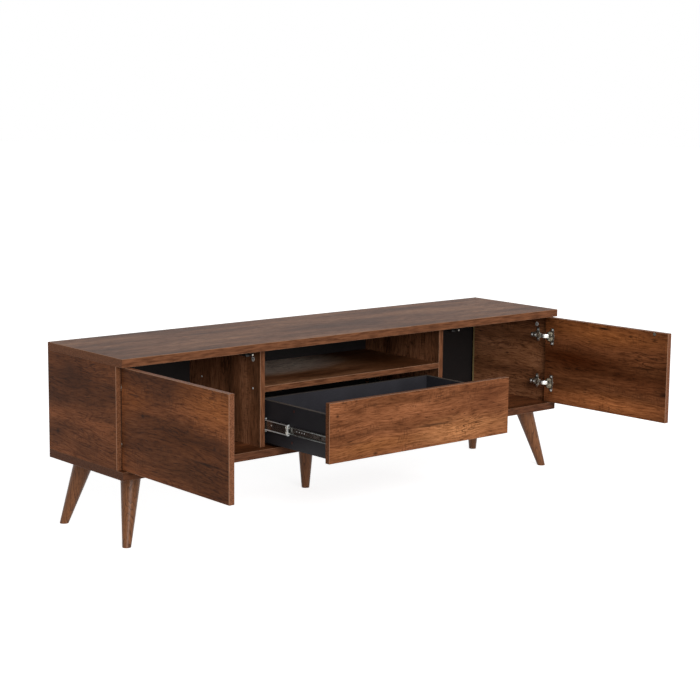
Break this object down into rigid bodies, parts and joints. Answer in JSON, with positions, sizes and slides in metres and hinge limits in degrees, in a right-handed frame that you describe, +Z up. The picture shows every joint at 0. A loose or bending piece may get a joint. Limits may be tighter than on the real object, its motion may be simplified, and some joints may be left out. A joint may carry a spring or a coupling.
{
  "type": "tv stand with doors",
  "caption": "Low wood-print tv stand on splayed tapered legs, with push-to-open doors on concealed hinges beside an open niche over a drawer on telescopic slides",
  "frame": {"origin": "centre of the middle foot, on the floor", "axes": "X along the length, front faces -Y, Z up"},
  "size_m": [1.8135, 0.9095, 0.559],
  "materials": {
    "top_wood": "satin wood-print top",
    "bottom_wood": "satin wood print",
    "side_wood": "satin wood print",
    "divider_wood": "satin wood print",
    "shelf_wood": "satin wood print",
    "door_wood": "satin wood print",
    "drawer_wood": "satin wood print",
    "leg_wood": "stained, satin varnish",
    "back_black": "black hardboard",
    "box_black": "black foil",
    "sheet_black": "black hardboard",
    "dowel_wood": "plain beech",
    "hinge_steel": "nickel plated",
    "link_steel": "bright nickel",
    "slide_steel": "zinc plated",
    "cam_zinc": "cast zinc",
    "screw_steel": "zinc plated",
    "latch_plastic": "moulded",
    "plunger_plastic": "moulded with a bright magnet tip"
  },
  "bodies": {
    "carcass": {"top_board": "top_wood", "bottom_board": "bottom_wood", "left_side": "side_wood", "right_side": "side_wood", "left_divider": "divider_wood", "right_divider": "divider_wood", "shelf": "shelf_wood", "back_panel": "back_black", "leg_front_left": "leg_wood", "leg_front_right": "leg_wood", "leg_back_left": "leg_wood", "leg_back_right": "leg_wood", "leg_middle": "leg_wood", "leg_bolts": "screw_steel", "cam_locks": "cam_zinc", "cam_bolts": "cam_zinc", "base_screws": "screw_steel", "shelf_screws": "screw_steel", "back_screws": "screw_steel", "left_hinge_plates": "hinge_steel", "right_hinge_plates": "hinge_steel", "left_hinge_arms": "hinge_steel", "right_hinge_arms": "hinge_steel", "arm_pins": "link_steel", "plate_screws": "screw_steel", "left_slide_outer": "slide_steel", "right_slide_outer": "slide_steel", "slide_screws": "screw_steel", "left_latch_housing": "latch_plastic", "right_latch_housing": "latch_plastic", "latch_screws": "screw_steel"},
    "slide_middles": {"left_slide_middle": "slide_steel", "right_slide_middle": "slide_steel", "slide_stops": "slide_steel"},
    "drawer": {"drawer_front": "drawer_wood", "left_drawer_side": "box_black", "right_drawer_side": "box_black", "drawer_back": "box_black", "drawer_bottom": "sheet_black", "drawer_dowels": "dowel_wood", "drawer_screws": "screw_steel", "left_slide_inner": "slide_steel", "right_slide_inner": "slide_steel", "runner_screws": "screw_steel"},
    "left_links": {"left_hinge_links": "link_steel"},
    "left_door": {"left_door": "door_wood", "left_hinge_cups": "hinge_steel", "left_cup_screws": "screw_steel", "left_cup_pins": "link_steel", "left_strike": "screw_steel"},
    "left_plunger": {"left_latch_plunger": "plunger_plastic"},
    "right_links": {"right_hinge_links": "link_steel"},
    "right_door": {"right_door": "door_wood", "right_hinge_cups": "hinge_steel", "right_cup_screws": "screw_steel", "right_cup_pins": "link_steel", "right_strike": "screw_steel"},
    "right_plunger": {"right_latch_plunger": "plunger_plastic"}
  },
  "joints": [
    {"name": "left_link_swing", "type": "hinge", "parent": "carcass", "child": "left_links", "pos_m": [-0.862, -0.2408, 0.382], "axis": [0, 0, -1], "range_deg": [-4.61, 39.02]},
    {"name": "left_door_swing", "type": "hinge", "parent": "left_links", "child": "left_door", "pos_m": [-0.87221, -0.26986, 0.382], "axis": [0, 0, -1], "range_deg": [-129.41, 15.01]},
    {"name": "left_latch_travel", "type": "slide", "parent": "carcass", "child": "left_plunger", "axis": [0, -1, 0], "range_m": [-0.0234, 0.0028]},
    {"name": "right_link_swing", "type": "hinge", "parent": "carcass", "child": "right_links", "pos_m": [0.862, -0.2408, 0.382], "axis": [0, 0, 1], "range_deg": [-3.54, 40.09]},
    {"name": "right_door_swing", "type": "hinge", "parent": "right_links", "child": "right_door", "pos_m": [0.87166, -0.27005, 0.382], "axis": [0, 0, 1], "range_deg": [-132.99, 11.44]},
    {"name": "right_latch_travel", "type": "slide", "parent": "carcass", "child": "right_plunger", "axis": [0, -1, 0], "range_m": [-0.0234, 0.0021]},
    {"name": "drawer_slide", "type": "slide", "parent": "carcass", "child": "drawer", "axis": [0, -1, 0], "range_m": [-0.298, 0.042]},
    {"name": "slide_middle_travel", "type": "slide", "parent": "carcass", "child": "slide_middles", "axis": [0, -1, 0], "range_m": [-0.1491, 0.0211]}
  ],
  "couplings": [
    {"joint": "left_link_swing", "follows": "left_door_swing", "ratio": -0.3007},
    {"joint": "left_latch_travel", "follows": "left_door_swing", "m_per_rad": 0.010316},
    {"joint": "right_link_swing", "follows": "right_door_swing", "ratio": -0.3007},
    {"joint": "right_latch_travel", "follows": "right_door_swing", "m_per_rad": 0.010038},
    {"joint": "slide_middle_travel", "follows": "drawer_slide", "ratio": 0.5}
  ]
}
